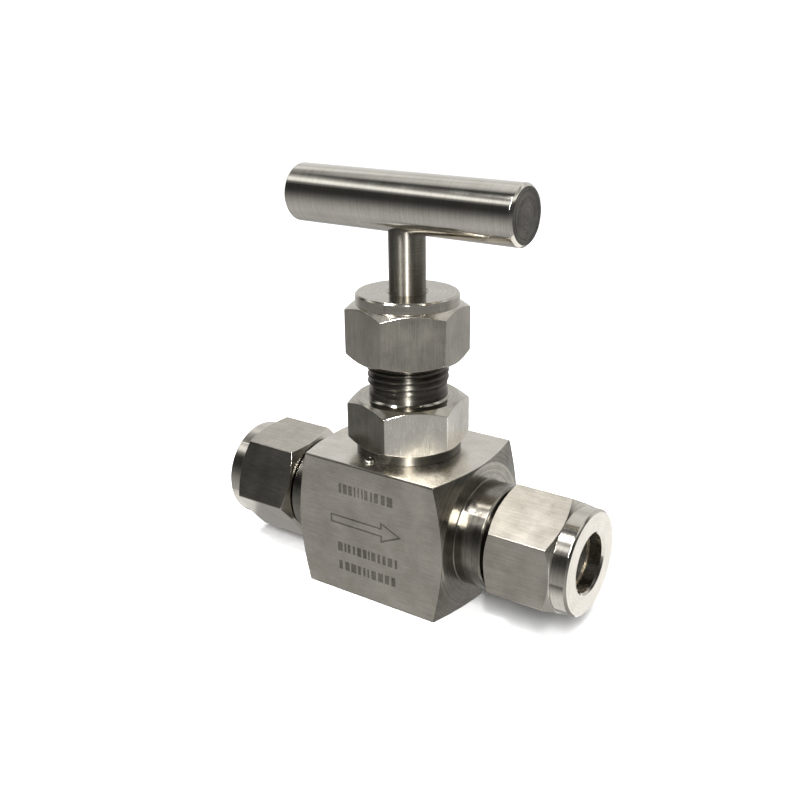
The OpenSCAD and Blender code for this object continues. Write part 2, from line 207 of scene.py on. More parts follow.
def along_flow(side):
    """Placement of a piece drawn up Z, so that it lies outward along the flow at one side."""
    return Matrix.Translation((0, 0, flow_z)) @ Matrix.Rotation(side * math.pi / 2, 4, "Y")


def cut(piece, cutter):
    """Cuts one skin out of another, and keeps the cutter's material on the cut faces."""
    modifier = piece.modifiers.new("cut", "BOOLEAN")
    modifier.operation = "DIFFERENCE"
    modifier.solver = "EXACT"
    modifier.material_mode = "TRANSFER"
    modifier.object = cutter
    graph = bpy.context.evaluated_depsgraph_get()
    mesh = bpy.data.meshes.new_from_object(piece.evaluated_get(graph))
    piece.modifiers.clear()
    piece.data = mesh
    bpy.data.objects.remove(cutter)


def add_materials(piece, *materials):
    for material in materials:
        piece.data.materials.append(material)


def plug(name, radius, low, high, place, material):
    """A round cutter between two heights."""
    cutter = skin(name, round_angles(CUTTER_COLUMNS), lambda angle: rounded(
        [(0, low, 0), (radius, low, 0), (radius, high, 0), (0, high, 0)], False), False, place)
    add_materials(cutter, material)
    return cutter


def choose_faces(piece, pick):
    """Sets each face's material by its centre in mm and its normal."""
    for polygon in piece.data.polygons:
        polygon.material_index = pick(polygon.center / MM, polygon.normal)


def finish_piece(piece, body, node):
    """Shades a piece smooth between its sharp edges, hangs it under its body and hides the CAD node it stands
    for.
    """
    mesh = piece.data
    for polygon in mesh.polygons:
        polygon.use_smooth = True
    mesh.set_sharp_from_angle(angle=SHARP_ANGLE)
    weighted = piece.modifiers.new("weighted", "WEIGHTED_NORMAL")
    weighted.keep_sharp = True
    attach(piece, body)
    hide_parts(node)


# ---- Materials --------------------------------------------------------------------------------

class Nodes:
    """A short way to write the node tree of a material or a world."""

    def __init__(self, owner):
        owner.use_nodes = True
        self.owner = owner
        self.tree = owner.node_tree
        self.tree.nodes.clear()

    def add(self, kind, inputs=(), **settings):
        made = self.tree.nodes.new(kind)
        for key, value in settings.items():
            setattr(made, key, value)
        for key, value in dict(inputs).items():
            if isinstance(value, bpy.types.NodeSocket):
                self.tree.links.new(value, made.inputs[key])
            else:
                made.inputs[key].default_value = value
        return made

    def finish(self, shader, kind="ShaderNodeOutputMaterial"):
        """Joins a shader to the output and returns the material or world."""
        self.add(kind, {"Surface": shader.outputs[0]})
        return self.owner

    def place(self, kind="Object"):
        return self.add("ShaderNodeTexCoord").outputs[kind]

    def math(self, operation, a, b=0.0):
        return self.add("ShaderNodeMath", {0: a, 1: b}, operation=operation).outputs[0]

    def plus(self, a, b):
        return self.math("ADD", a, b)

    def times(self, a, b):
        return self.math("MULTIPLY", a, b)

    def mix(self, factor, low, high):
        return self.add("ShaderNodeMix", {"Factor": factor, 6: low, 7: high}, data_type="RGBA").outputs[2]

    def grey(self, tone):
        return self.add("ShaderNodeCombineColor", {0: tone, 1: tone, 2: tone}).outputs[0]

    def bumps(self, height, microns):
        settings = {"Strength": 1.0, "Distance": microns * MICRON, "Height": height}
        return self.add("ShaderNodeBump", settings).outputs[0]

    def noise(self, vector, scale, detail=2.0, roughness=0.5):
        made = self.add("ShaderNodeTexNoise", {
            "Vector": vector, "Scale": scale, "Detail": detail, "Roughness": roughness})
        return made.outputs["Fac"]

    def between(self, value, low, high, start=0.3, end=0.7, **settings):
        """Maps a value, from start to end, onto a range."""
        made = self.add("ShaderNodeMapRange", {
            "Value": value, "From Min": start, "From Max": end, "To Min": low, "To Max": high}, **settings)
        return made.outputs["Result"]


def grain_vector(n, place, kind):
    """Coordinates in mm, squeezed so that noise along them becomes drawn lines or turned rings."""
    scaled = n.add("ShaderNodeVectorMath", {0: place, "Scale": 1 / MM}, operation="SCALE").outputs[0]
    if kind in GRAIN_SCALES:
        stretch = n.add("ShaderNodeVectorMath", {0: scaled, 1: GRAIN_SCALES[kind]}, operation="MULTIPLY")
        return scaled, stretch.outputs[0]
    axis, centre = TURN_AXES[kind]
    moved = n.add("ShaderNodeVectorMath", {0: scaled, 1: centre}, operation="SUBTRACT").outputs[0]
    parts = n.add("ShaderNodeSeparateXYZ", {0: moved})
    along = parts.outputs[axis]
    first, second = (parts.outputs[i] for i in range(3) if i != axis)
    radius = n.math("SQRT", n.plus(n.times(first, first), n.times(second, second)))
    turned = n.math("ARCTAN2", first, second)
    rings = n.add("ShaderNodeCombineXYZ", {
        0: n.times(radius, LINES_PER_MM), 1: n.times(along, LINES_PER_MM), 2: n.times(turned, RING_STRETCH)})
    return scaled, rings.outputs[0]


LINES_PER_MM = 5.0       # across drawn lines and turned rings
LINE_STRETCH = 0.16      # along drawn lines
RING_STRETCH = 0.35      # around turned rings, for each radian
GRAIN_SCALES = {
    "along_x": (LINE_STRETCH, LINES_PER_MM, LINES_PER_MM),
    "along_z": (LINES_PER_MM, LINES_PER_MM, LINE_STRETCH),
    "plain": (3.0, 3.0, 3.0),
}
# Axis number and centre of the rings
TURN_AXES = {
    "about_x": (0, (0, 0, flow_z)),
    "about_z": (2, (0, 0, 0)),
    "about_bar": (0, (0, 0, bar_z)),
}
METAL_SPREAD = (0.38, 0.62)         # the part of a noise's range that metals stretch to full contrast
WARMTH = (1.0, 0.997, 0.975)        # on every metal's red, green and blue


def metal(name, kind, dark, light, rough, bump, stretch=0.0):
    """Steel with lines or rings in its surface. rough is the range of roughness, bump in microns.

    stretch above 0 draws the highlight out along the axis of a turned piece.
    """
    n = Nodes(bpy.data.materials.new(name))
    dark, light = ([c * w for c, w in zip(shade, WARMTH)] for shade in (dark, light))
    plain, lines = grain_vector(n, n.place(), kind)
    grain = n.noise(lines, 1.0, 3.0, 0.6)
    fine = n.noise(lines, 2.7, 2.0, 0.5)
    cloud = n.noise(plain, 0.16, 3.0, 0.6)
    speck = n.noise(plain, 2.2, 2.0, 0.5)
    shade = n.plus(n.times(grain, 0.45), n.plus(n.times(cloud, 0.4), n.times(speck, 0.15)))
    colour = n.mix(n.between(shade, 0.0, 1.0, *METAL_SPREAD), (*dark, 1), (*light, 1))
    roughness = n.between(n.plus(n.times(fine, 0.5), n.times(cloud, 0.5)), *rough, *METAL_SPREAD)
    height = n.plus(n.times(grain, 0.6), n.times(fine, 0.4))
    shader = n.add("ShaderNodeBsdfPrincipled", {
        "Base Color": colour, "Metallic": 1.0, "Roughness": roughness, "Normal": n.bumps(height, bump)})
    if stretch:
        axis = "Z" if kind == "about_z" else "X"
        tangent = n.add("ShaderNodeTangent", direction_type="RADIAL", axis=axis).outputs[0]
        n.tree.links.new(tangent, shader.inputs["Tangent"])
        shader.inputs["Anisotropic"].default_value = stretch
        shader.inputs["Anisotropic Rotation"].default_value = 0.25
    return n.finish(shader)


def plastic(name, colour, rough):
    """White fluoropolymer, slightly waxy, with turning marks."""
    n = Nodes(bpy.data.materials.new(name))
    plain, lines = grain_vector(n, n.place(), "about_z")
    rings = n.noise(lines, 1.0)
    cloud = n.noise(plain, 0.5)
    tint = n.mix(n.between(cloud, 0.0, 1.0), (*colour, 1), (*(c * 0.92 for c in colour), 1))
    shader = n.add("ShaderNodeBsdfPrincipled", {
        "Base Color": tint, "Roughness": n.between(rings, rough - 0.08, rough + 0.08),
        "Subsurface Weight": 0.15, "Normal": n.bumps(rings, 4)})
    return n.finish(shader)


ground = metal("ground_block", "along_x", (0.42, 0.392, 0.345), (0.62, 0.585, 0.53), (0.30, 0.42), 9)
# Painted dark reflection: the rounded long corners of the body are coloured near black, as the dark studio
# they reflect.
painted_dark_edges = metal("block_edges_painted_dark", "along_x", (0.05, 0.047, 0.04), (0.13, 0.122, 0.106), (0.4, 0.5), 6)
# Painted light: the body's top face is coloured lighter than its other flats, as the light falling on it; its
# smoother finish is real.
painted_light_block_top = metal("painted_light_block_top", "along_x", (0.56, 0.53, 0.475), (0.74, 0.705, 0.65), (0.22, 0.32), 5)
# Painted dark reflection: the body's turned ends, neck and bores are coloured much darker than its ground
# flats, as the dark things they reflect; the turned rings and finish are real.
body_turned_painted_dark = metal("body_turned_painted_dark", "about_x", (0.15, 0.14, 0.122), (0.34, 0.32, 0.285), (0.16, 0.26), 7, 0.4)
outlet_drawn = metal("outlet_nut_flats", "along_x",
                     (0.42, 0.392, 0.345), (0.60, 0.565, 0.51), (0.32, 0.42), 6)
inlet_drawn = metal("inlet_nut_flats", "along_x", (0.44, 0.413, 0.365), (0.60, 0.565, 0.51), (0.18, 0.27), 3)
# Painted shade: the outlet nut's downward flat is coloured near black, as the shadow under the nut.
nut_under_painted_shade = metal("nut_under_painted_shade", "along_x", (0.09, 0.085, 0.075), (0.20, 0.188, 0.165), (0.16, 0.24), 3)
nut_turned = metal("nut_turned", "about_x", (0.54, 0.51, 0.46), (0.70, 0.665, 0.61), (0.10, 0.18), 3, 0.4)
gland_drawn = metal("gland_flats", "along_z", (0.34, 0.318, 0.28), (0.50, 0.472, 0.42), (0.26, 0.38), 6)
gland_turned = metal("gland_turned", "about_z",
                     (0.40, 0.375, 0.33), (0.58, 0.545, 0.49), (0.14, 0.24), 5, 0.6)
# Painted light and shade: lit and shaded copies of one steel; the bonnet's flats are coloured very light, and
# its flat facing front left near black.
bonnet_painted_light_flats = metal("bonnet_flats_painted_light", "along_z", (0.72, 0.687, 0.63), (0.90, 0.865, 0.808), (0.20, 0.30), 5)
bonnet_painted_shade_flat = metal("bonnet_painted_shade_flat", "along_z", (0.13, 0.122, 0.106), (0.27, 0.254, 0.224), (0.16, 0.26), 5)
bonnet_turned = metal("bonnet_turned", "about_z", (0.32, 0.30, 0.265), (0.50, 0.472, 0.42), (0.07, 0.13), 2)
# Painted shade: the bonnet's threads, neck and collar, between and under its hexagons, are coloured near
# black, as the shade there.
painted_shade_steel = metal("bonnet_neck_painted_shade", "about_z",
                     (0.08, 0.075, 0.066), (0.19, 0.179, 0.158), (0.36, 0.46), 4, 1.0)
# Painted dark reflection: the polished stem is coloured much darker than the other steel, as the far, dark
# floor it reflects; its highlight comes from the key light.
painted_dark_polished = metal("stem_painted_dark_polish", "about_z",
                 (0.20, 0.188, 0.165), (0.32, 0.302, 0.27), (0.46, 0.54), 0.8, 1.0)
bar_polished = metal("bar_polished", "about_bar",
                     (0.58, 0.552, 0.50), (0.72, 0.688, 0.635), (0.08, 0.13), 1.5, 0.7)
# Painted dark reflection: the bar's flat ends are coloured near black, as the dark studio they reflect.
painted_dark_bar_ends = metal("painted_dark_bar_ends", "about_bar", (0.03, 0.028, 0.025), (0.20, 0.188, 0.165), (0.2, 0.34), 6)
small_turned = metal("small_turned", "about_z", (0.46, 0.435, 0.39), (0.62, 0.587, 0.535), (0.24, 0.36), 5)
ferrule_turned = metal("ferrule_turned", "about_x", (0.66, 0.63, 0.575), (0.84, 0.805, 0.75), (0.20, 0.30), 4)
bright = metal("hardened_bright", "plain", (0.70, 0.68, 0.65), (0.80, 0.78, 0.75), (0.08, 0.16), 1)
dark_steel = metal("dark_alloy", "about_bar", (0.07, 0.068, 0.063), (0.13, 0.126, 0.118), (0.32, 0.45), 4)
etched = metal("etched_mark", "plain", (0.14, 0.131, 0.114), (0.30, 0.283, 0.25), (0.45, 0.6), 6)
ptfe = plastic("ptfe", (0.86, 0.85, 0.82), 0.45)


# ---- Body -------------------------------------------------------------------------------------

half_body = 19.5
disc_radius = half_bar - 0.2
cone_slope = math.tan(math.radians(19.5))
neck_radius = 11.8
neck_end = nut_reach - 20.1
neck_chamfer = 0.4
plain_radius = 8.625             # under and beside the tube threads
tube_thread_depth, tube_pitch = 0.72, 1.27
ferrule_cone_radius = 7.9
ferrule_cone_start = tube_end - (ferrule_cone_radius - tube_bore) / math.tan(math.radians(12))
socket_floor = nut_reach - 22
thread_margin = 0.6              # plain end of the tube thread
thread_start = neck_end + 1


def body_outline(angle):
    side = polygon_side(angle, 4, math.pi / 4, half_bar, bar_corner_round)
    shoulder = half_body - (side - disc_radius) * cone_slope
    socket = [
        (0, socket_floor, 0), (tube_bore, socket_floor, fine_edge),
        (tube_bore, ferrule_cone_start, fine_edge), (ferrule_cone_radius, tube_end, fine_edge),
        (plain_radius, tube_end, fine_edge)]
    neck = [
        (plain_radius, neck_end, fine_edge), (neck_radius - neck_chamfer, neck_end, fine_edge),
        (neck_radius, neck_end - neck_chamfer, fine_edge), (neck_radius, half_body, 0.35),
        (disc_radius, half_body, 0.15), (side, shoulder, 0.3)]
    low, high = thread_start, tube_end - thread_margin
    size = (tube_thread_radius, tube_thread_depth, tube_pitch, angle)
    outlet = socket + thread(low, high, *size)[::-1] + neck
    inlet_socket, inlet_neck = ([(r, -h, f) for r, h, f in part] for part in (socket, neck))
    inlet = inlet_socket + thread(-high, -low, *size) + inlet_neck
    return rounded(inlet + outlet[::-1], False)


def body_face(spot, normal):
    """0 ground flats, 1 turned, with a painted dark reflection, 2 the long corners, with a painted dark
    reflection, 3 the top, with painted light.
    """
    off_axis = math.hypot(spot.y, spot.z - flow_z)
    if abs(normal.x) >= 0.15 or off_axis <= disc_radius:
        return 1
    # The long corners get the painted dark reflection.
    if min(abs(normal.y), abs(normal.z)) > 0.2:
        return 2
    # The top face gets the painted light.
    return 3 if normal.z > 0.9 else 0


body = skin("body_block", polygon_angles(4, math.pi / 4, half_bar, bar_corner_round), body_outline, False,
            along_flow(1))
add_materials(body, ground, body_turned_painted_dark, painted_dark_edges, painted_light_block_top)
choose_faces(body, body_face)

port_offset, orifice = 3.2, 2.6          # the bores lie this far above and below the flow axis
bore_start = -0.6 * orifice              # past the valve's axis, to clear the needle
chamber, recess = 5.0, 8.7
tapped = bonnet_thread_radius + run_gap
recess_floor = flow_z + port_offset + orifice + 0.6
recess_top = recess_floor + 1.2
past = 1                                 # how far a cutter runs past the face it opens
bonnet_hole = skin("bonnet_hole", round_angles(HOLE_COLUMNS), lambda angle: rounded([
    (0, flow_z, 0), (chamber, flow_z, 0), (chamber, recess_floor, 0), (recess, recess_floor, 0),
    (recess, recess_top, 0), (tapped, recess_top, 0), (tapped, body_top + past, 0),
    (0, body_top + past, 0)], False), False)
add_materials(bonnet_hole, gland_turned)
cut(body, bonnet_hole)
cut(body, plug("orifice_hole", orifice, flow_z - port_offset, flow_z + past, Matrix.Identity(4),
               gland_turned))
for side in (1, -1):
    place = Matrix.Translation((0, 0, side * port_offset)) @ along_flow(side)
    cut(body, plug("flow_bore", orifice, bore_start, socket_floor + 0.5, place, body_turned_painted_dark))

# Etched marks on the front: a plain flow arrow and rows of plain bars
mark_depth = 0.05
stroke = 0.4
front = -half_bar
# Low and high z, and start and end x, of each row of bars
mark_rows = ((24.7, 27.0, -7.8, 6.6), (10.2, 12.4, -8.6, 8.8), (5.6, 7.8, -8.4, 7.8))
bar_widths = (0.4, 1.5)
bar_gaps = (0.35, 0.8)
row_rest = 0.6                           # no bar starts in the last part of a row
arrow_tail, arrow_neck, arrow_tip = -10.4, 3.4, 9.0
arrow_z, arrow_half_shaft, arrow_half_head = 18.0, 1.1, 2.5


def inset(loop, distance):
    """A closed outline moved inward by one distance all round."""
    moved = []
    for k, corner in enumerate(loop):
        here = Vector(corner)
        before = (here - Vector(loop[k - 1])).normalized()
        after = (Vector(loop[(k + 1) % len(loop)]) - here).normalized()
        first, second = (Vector((-run.y, run.x)) for run in (before, after))
        moved.append(tuple(here + (first + second) * distance / (1 + first.dot(second))))
    return moved


def mark_bars():
    """Outlines (x, z) in mm of the rows of bars."""
    shapes = []
    draw = random.Random(7)
    for low, high, start, end in mark_rows:
        x = start
        while x < end - row_rest:
            width = draw.uniform(*bar_widths)
            shapes.append([(x, low), (x + width, low), (x + width, high), (x, high)])
            x += width + draw.uniform(*bar_gaps)
    return shapes


def mark_cutter():
    """Closed shallow prisms that stand in the front face."""
    vertices, faces = [], []
    ends = (front - past, front + mark_depth)
    for outline in mark_bars():
        base, count = len(vertices), len(outline)
        vertices += [(x * MM, y * MM, z * MM) for y in ends for x, z in outline]
        faces.append([base + k for k in range(count)])
        faces.append([base + count + k for k in reversed(range(count))])
        for k in range(count):
            ahead = (k + 1) % count
            faces.append([base + k, base + count + k, base + count + ahead, base + ahead])
    # the outlined arrow: a ring of quads between its outline and the same outline drawn inward
    arrow = [
        (arrow_tail, arrow_z - arrow_half_shaft), (arrow_neck, arrow_z - arrow_half_shaft),
        (arrow_neck, arrow_z - arrow_half_head), (arrow_tip, arrow_z),
        (arrow_neck, arrow_z + arrow_half_head), (arrow_neck, arrow_z + arrow_half_shaft),
        (arrow_tail, arrow_z + arrow_half_shaft)]
    base, count = len(vertices), len(arrow)
    vertices += [(x * MM, y * MM, z * MM) for y in ends for x, z in arrow + inset(arrow, stroke)]
    for k in range(count):
        here, ahead = base + k, base + (k + 1) % count
        faces.append([here, ahead, ahead + count, here + count])
        faces.append([here + 2 * count, here + 3 * count, ahead + 3 * count, ahead + 2 * count])
        faces.append([here, here + 2 * count, ahead + 2 * count, ahead])
        faces.append([here + count, ahead + count, ahead + 3 * count, here + 3 * count])
    mesh = bpy.data.meshes.new("marks")
    mesh.from_pydata(vertices, [], faces)
    face_outward(mesh)
    mesh.materials.append(etched)
    made = bpy.data.objects.new("marks", mesh)
    bpy.context.scene.collection.objects.link(made)
    return made


cut(body, mark_cutter())

# Lock pin, pressed into the body's top beside the bonnet collar
pin_radius = 1.0
pin_reach = 12.4
pin_angle = math.radians(-99.5)
pin_place = Matrix.Translation((pin_reach * math.cos(pin_angle), pin_reach * math.sin(pin_angle), 0))
cut(body, plug("pin_hole", pin_radius + 0.01, pin_low - 0.05, body_top + past, pin_place, body_turned_painted_dark))
finish_piece(body, "root", "valve_body")

pin = skin("lock_pin", round_angles(SMALL_COLUMNS), lambda angle: rounded([
    (0, pin_low, 0), (pin_radius, pin_low, 0.25), (pin_radius, pin_top, 0.45), (0, pin_top, 0)], False),
    False, pin_place)
add_materials(pin, bright)
finish_piece(pin, "root", "bonnet_lock_pin")


# ---- Bonnet -----------------------------------------------------------------------------------

collar_radius, collar_top = 11.7, body_top + 2
collar_foot = body_top + 0.04
hex_foot_radius, hex_head_radius = 11.5, 11.3    # where the hexagon's chamfers start
bonnet_hex_top = collar_top + 10.5
bonnet_neck = 8.7
foot_radius = 8.4
top_thread_low = bonnet_hex_top + 2.1
bonnet_thread_depth, bonnet_pitch = 0.85, 1.5
thread_root = gland_thread_radius - bonnet_thread_depth
relief_radius = 8.8                              # turned free under the collar
backseat = collar_top + 8
box_floor = bonnet_hex_top + 1.5                 # bottom of the packing box
box_radius = 6.5
stem_bore = stem_radius + run_gap
stem_thread_bore = stem_thread_radius + run_gap


def bonnet_outline(angle):
    side = polygon_side(angle, 6, bonnet_turn, hex_apothem, hex_corner_round)
    size = (bonnet_thread_depth, bonnet_pitch, angle)
    return rounded([
        (stem_thread_bore, bonnet_foot, fine_edge), (foot_radius, bonnet_foot, 0.2),
        (foot_radius, bonnet_foot + 1.2, 0),
        *thread(bonnet_foot + 1.3, body_top - 0.3, bonnet_thread_radius, *size),
        (relief_radius, body_top - 0.1, 0), (relief_radius, collar_foot, 0),
        (collar_radius, collar_foot, 0.2),
        (collar_radius, collar_top + 0.115, 0.05),
        (side, collar_top + (side - hex_foot_radius) * chamfer_slope, edge),
        (side, bonnet_hex_top - (side - hex_head_radius) * chamfer_slope, edge),
        (hex_head_radius, bonnet_hex_top, fine_edge), (bonnet_neck + 0.5, bonnet_hex_top, 0.1),
        (bonnet_neck, bonnet_hex_top + 0.5, 0.3), (bonnet_neck, top_thread_low - 0.5, fine_edge),
        (thread_root, top_thread_low - 0.2, 0),
        *thread(top_thread_low, bonnet_top - 0.4, gland_thread_radius, *size),
        (thread_root - 0.2, bonnet_top, fine_edge), (box_radius + 0.5, bonnet_top, fine_edge),
        (box_radius, bonnet_top - 0.5, 0), (box_radius, box_floor, 0.2), (stem_bore, box_floor, fine_edge),
        (stem_bore, backseat + 1, 0), (stem_thread_bore, backseat, 0)], True)


def bonnet_face(spot, normal):
    """0 drawn flats, with painted light, 1 turned, 2 threads, neck and collar, with painted shade, 3 the flat
    facing front left, with painted shade.
    """
    off_axis = math.hypot(spot.x, spot.y)
    if abs(normal.z) < 0.3 and off_axis > collar_radius + 0.1:
        # The flat facing front left gets the painted shade, the other flats the painted light.
        return 3 if normal.y < -0.85 else 0
    threaded = box_radius + 0.6 < off_axis < gland_thread_radius + 0.1 and spot.z > bonnet_hex_top + 0.3
    # Threads, neck and collar get the painted shade.
    return 2 if threaded or spot.z < collar_top + 0.2 else 1


bonnet = skin("bonnet_body", polygon_angles(6, bonnet_turn, hex_apothem, hex_corner_round),
              bonnet_outline, True)
add_materials(bonnet, bonnet_painted_light_flats, bonnet_turned, painted_shade_steel, bonnet_painted_shade_flat)
choose_faces(bonnet, bonnet_face)
cut(bonnet, plug("pin_notch", pin_radius + 0.02, body_top - 0.5, pin_top + 0.2, pin_place, bonnet_turned))
finish_piece(bonnet, "root", "bonnet")


# ---- Gland nut --------------------------------------------------------------------------------

boss_radius, boss_low, boss_chamfer = 11.3, gland_top - 2.4, 0.4
mouth_radius = 10.0      # where the lower chamfer starts
gland_roof = gland_top - 4.5
gland_bore = gland_thread_radius + run_gap
gland_thread_depth = 0.6
ledge = 0.15             # step from a hexagon's chamfer down to the round part beside it


def gland_outline(angle):
    side = polygon_side(angle, 6, gland_turn, hex_apothem, hex_corner_round)
    female = thread(gland_low + 0.6, gland_roof - 1.2, gland_bore, -gland_thread_depth, bonnet_pitch, angle)
    return rounded([
        (stem_bore, gland_top - 0.7, 0), (stem_radius + 0.7, gland_top, 0.1),
        (boss_radius - boss_chamfer, gland_top, fine_edge),
        (boss_radius, gland_top - boss_chamfer, fine_edge), (boss_radius, boss_low, 0.1),
        (boss_radius + ledge, boss_low, 0.05),
        (side, boss_low - (side - boss_radius - ledge) * chamfer_slope, edge),
        (side, gland_low + (side - mouth_radius) * chamfer_slope, edge),
        (mouth_radius, gland_low, fine_edge), (gland_bore + 0.5, gland_low, fine_edge),
        (gland_bore, gland_low + 0.5, 0), *female, (gland_bore, gland_roof, 0.2),
        (stem_bore, gland_roof, 0)], True)


def gland_face(spot, normal):
    """0 drawn flats, 1 turned."""
    return 0 if abs(normal.z) < 0.3 and math.hypot(spot.x, spot.y) > boss_radius + 0.3 else 1


gland = skin("gland_nut_body", polygon_angles(6, gland_turn, hex_apothem, hex_corner_round),
             gland_outline, True)
add_materials(gland, gland_drawn, gland_turned)
choose_faces(gland, gland_face)
finish_piece(gland, "gland", "gland_nut")


# ---- Stem, handle and set screw ---------------------------------------------------------------

skirt_radius, swivel_radius = 4.7, 4.0
stem_thread_depth, stem_pitch = 0.7, 1.25
stem_thread_low = stem_foot + 4.9
stem_shoulder = backseat - 3.1
swivel_roof = stem_foot + 3.9
stem_chamfer = 0.5
set_screw_radius, set_screw_chamfer = 2.0, 0.3
key_apothem, key_corner_round, key_floor = 1.0, 0.1, 1.1    # the hexagon socket of the set screw
screw_place = Matrix.Translation((0, 0, bar_z)) @ Matrix.Rotation(-math.pi / 2, 4, "X")

stem = skin("stem_rod", round_angles(), lambda angle: rounded([
    (0, swivel_roof, 0), (1.2, swivel_roof, 0), (swivel_radius, swivel_roof - 0.6, 0),
    (swivel_radius, stem_foot, 0.1), (skirt_radius, stem_foot, 0.2),
    (skirt_radius, stem_thread_low - 0.4, 0.1),
    (stem_thread_radius - stem_thread_depth, stem_thread_low - 0.1, 0),
    *thread(stem_thread_low, stem_shoulder - 0.6, stem_thread_radius, stem_thread_depth, stem_pitch, angle),
    (stem_thread_radius, stem_shoulder - 0.4, 0), (stem_thread_radius, stem_shoulder, fine_edge),
    (stem_radius, stem_shoulder + 1, fine_edge), (stem_radius, gland_top, 0), (stem_radius, bar_low, 0),
    (stem_radius, stem_end - stem_chamfer, fine_edge), (stem_radius - stem_chamfer, stem_end, fine_edge),
    (0, stem_end, 0)], False), False)
add_materials(stem, painted_dark_polished)
cut(stem, plug("screw_spot", set_screw_radius + 0.1, screw_tip - 0.04, 2 * stem_radius, screw_place,
               dark_steel))
finish_piece(stem, "stem", "stem")

bar_chamfer = 0.6
bar_rings = [(bar_radius, height, 0) for height in (-12, -6, 6, 12)]    # split the bar's long faces
bar = skin("handle_bar", round_angles(), lambda angle: rounded([
    (0, -bar_half, 0), (bar_radius - bar_chamfer, -bar_half, 0.2), (bar_radius, -bar_half + bar_chamfer, 0.3),
    *bar_rings, (bar_radius, bar_half - bar_chamfer, 0.3), (bar_radius - bar_chamfer, bar_half, 0.2),
    (0, bar_half, 0)], False), False,
    Matrix.Translation((0, 0, bar_z)) @ Matrix.Rotation(math.pi / 2, 4, "Y"))
add_materials(bar, bar_polished, painted_dark_bar_ends)
# The flat ends get the painted dark reflection.
choose_faces(bar, lambda spot, normal: 1 if abs(normal.x) > 0.9 else 0)
cut(bar, plug("stem_hole", stem_radius + 0.03, bar_low - past, stem_end + 0.3, Matrix.Identity(4), painted_dark_polished))
cut(bar, plug("screw_hole", set_screw_radius + 0.03, 0, bar_radius + past, screw_place, dark_steel))
finish_piece(bar, "stem", "tbar_handle")


def screw_outline(angle):
    key = polygon_side(angle, 6, 0, key_apothem, key_corner_round)
    length = screw_end - screw_tip
    return rounded([
        (0, 0, 0), (set_screw_radius - 0.5, 0, fine_edge), (set_screw_radius, 0.5, fine_edge),
        (set_screw_radius, length - set_screw_chamfer, fine_edge),
        (set_screw_radius - set_screw_chamfer, length, fine_edge),
        (key + 0.12, length, 0.05), (key, length - 0.12, 0), (key, key_floor, 0), (0, key_floor, 0)], False)


screw = skin("set_screw", polygon_angles(6, 0, key_apothem, key_corner_round), screw_outline, False,
             screw_place @ Matrix.Translation((0, 0, screw_tip)))
add_materials(screw, dark_steel)
finish_piece(screw, "stem", "handle_set_screw")


# ---- Tube nuts --------------------------------------------------------------------------------

nut_collar_start, nut_collar_radius, nut_face_radius = nut_reach - 3.7, 11.6, 11.1
nut_shoulder = nut_reach - 3.3
nut_mouth_radius = 11.3                          # where the rear chamfer starts
nut_bore = tube_thread_radius + 0.065            # the bore under the nut's thread
nut_thread_depth, nut_thread_chamfer = 0.55, 0.54
pocket_radius, pocket_gap = 8.5, 0.6             # the room around the back ferrule


def nut_face(spot, normal):
    """0 drawn flats, 1 turned, 2 the flat below, which carries painted shade on the outlet nut."""
    if abs(normal.x) > 0.3 or math.hypot(spot.y, spot.z - flow_z) < nut_collar_radius + 0.25:
        return 1
    # The downward flat gets the third material, painted shade on the outlet nut.
    return 2 if normal.z < -0.7 else 0


def tube_nut(name, side, turn, body_name, node, drawn, under):
    def outline(angle):
        flank = polygon_side(angle, 6, turn, hex_apothem, hex_corner_round)
        female = thread(nut_rear + 0.7, tube_end - 1, nut_bore, -nut_thread_depth, tube_pitch, angle)
        pocket_floor = tube_end + pocket_gap
        return rounded([
            (tube_bore, nut_reach - 0.5, 0), (tube_bore + 0.5, nut_reach, 0.1),
            (nut_face_radius, nut_reach, 0.2), (nut_collar_radius, nut_reach - 0.5, 0.2),
            (nut_collar_radius, nut_collar_start, 0.1), (nut_collar_radius + ledge, nut_collar_start, 0.05),
            (flank, nut_collar_start - (flank - nut_collar_radius - ledge) * chamfer_slope, edge),
            (flank, nut_rear + (flank - nut_mouth_radius) * chamfer_slope, edge),
            (nut_mouth_radius, nut_rear, fine_edge), (nut_bore + nut_thread_chamfer, nut_rear, fine_edge),
            (nut_bore, nut_rear + 0.55, 0), *female, (nut_bore, pocket_floor, 0.1),
            (pocket_radius, pocket_floor, 0.1),
            (pocket_radius, nut_shoulder - (pocket_radius - tube_bore), 0.1),
            (tube_bore, nut_shoulder, 0)], True)

    nut = skin(name, polygon_angles(6, turn, hex_apothem, hex_corner_round), outline, True, along_flow(side))
    add_materials(nut, drawn, nut_turned, under)
    choose_faces(nut, nut_face)
    finish_piece(nut, body_name, node)


# The outlet nut's flat below gets painted shade; the inlet nut's keeps its plain flats.
tube_nut("outlet_nut_body", 1, outlet_turn, "outlet_nut", "outlet_tube_nut", outlet_drawn, nut_under_painted_shade)
tube_nut("inlet_nut_body", -1, inlet_turn, "inlet_nut", "inlet_tube_nut", inlet_drawn, inlet_drawn)


# ---- CAD nodes that stay ----------------------------------------------------------------------

kept = {
    "bonnet_gasket": ptfe, "packing_support_ring": small_turned, "packing_ring_lower": ptfe,
    "packing_ring_middle": ptfe, "packing_ring_upper": ptfe, "packing_follower": small_turned,
    "needle_tip": painted_dark_polished, "thrust_ball": bright, "tip_retainer": small_turned,
    "inlet_front_ferrule": ferrule_turned, "inlet_back_ferrule": ferrule_turned,
    "outlet_front_ferrule": ferrule_turned, "outlet_back_ferrule": ferrule_turned,
}
for name, material in kept.items():
    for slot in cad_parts[name].material_slots:
        slot.material = material


# ---- Floor, cards and backdrop, in metres -----------------------------------------------------

